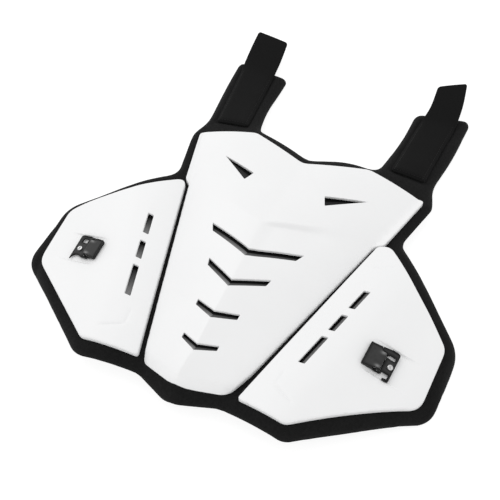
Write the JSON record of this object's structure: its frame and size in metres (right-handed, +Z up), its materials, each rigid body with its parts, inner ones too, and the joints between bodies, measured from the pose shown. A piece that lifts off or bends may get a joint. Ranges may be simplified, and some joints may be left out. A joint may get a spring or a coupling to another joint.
{
  "type": "motorcycle protective vest",
  "caption": "Chest guard of a motorcycle protective vest: white hard plates with vent slots on a black padded liner, shoulder pads with straps, and lever buckles.",
  "frame": {"origin": "on the floor that the guard lies on, under the middle of its overall box", "axes": "+X across the chest to the viewer's right, +Y from the waist to the shoulder straps, +Z up, away from the body"},
  "size_m": [0.4598, 0.5338, 0.0625],
  "materials": {
    "padded_knit": "matt black knit over foam",
    "white_plastic": "satin white moulded plastic",
    "strap_fabric": "matt black hook-and-loop webbing",
    "black_buckle": "satin black",
    "bright_steel": "bright"
  },
  "bodies": {
    "guard": {"foam_liner": "padded_knit", "shoulder_pad_left": "padded_knit", "shoulder_pad_right": "padded_knit", "center_plate": "white_plastic", "wing_plate_left": "white_plastic", "wing_plate_right": "white_plastic", "shoulder_strap_left": "strap_fabric", "shoulder_strap_right": "strap_fabric", "buckle_base_left": "black_buckle", "buckle_base_right": "black_buckle", "buckle_pin_left": "bright_steel", "buckle_pin_right": "bright_steel", "buckle_rivet_left": "bright_steel", "buckle_rivet_right": "bright_steel"},
    "lever_left": {"buckle_lever_left": "black_buckle"},
    "lever_right": {"buckle_lever_right": "black_buckle"}
  },
  "joints": [
    {"name": "lever_left_hinge", "type": "hinge", "parent": "guard", "child": "lever_left", "pos_m": [-0.16459, -0.15123, 0.03812], "axis": [0.0338, -0.9986, -0.0416], "range_deg": [0, 100]},
    {"name": "lever_right_hinge", "type": "hinge", "parent": "guard", "child": "lever_right", "pos_m": [0.1646, -0.15116, 0.03813], "axis": [0.0844, 0.996, 0.0284], "range_deg": [0, 100]}
  ]
}
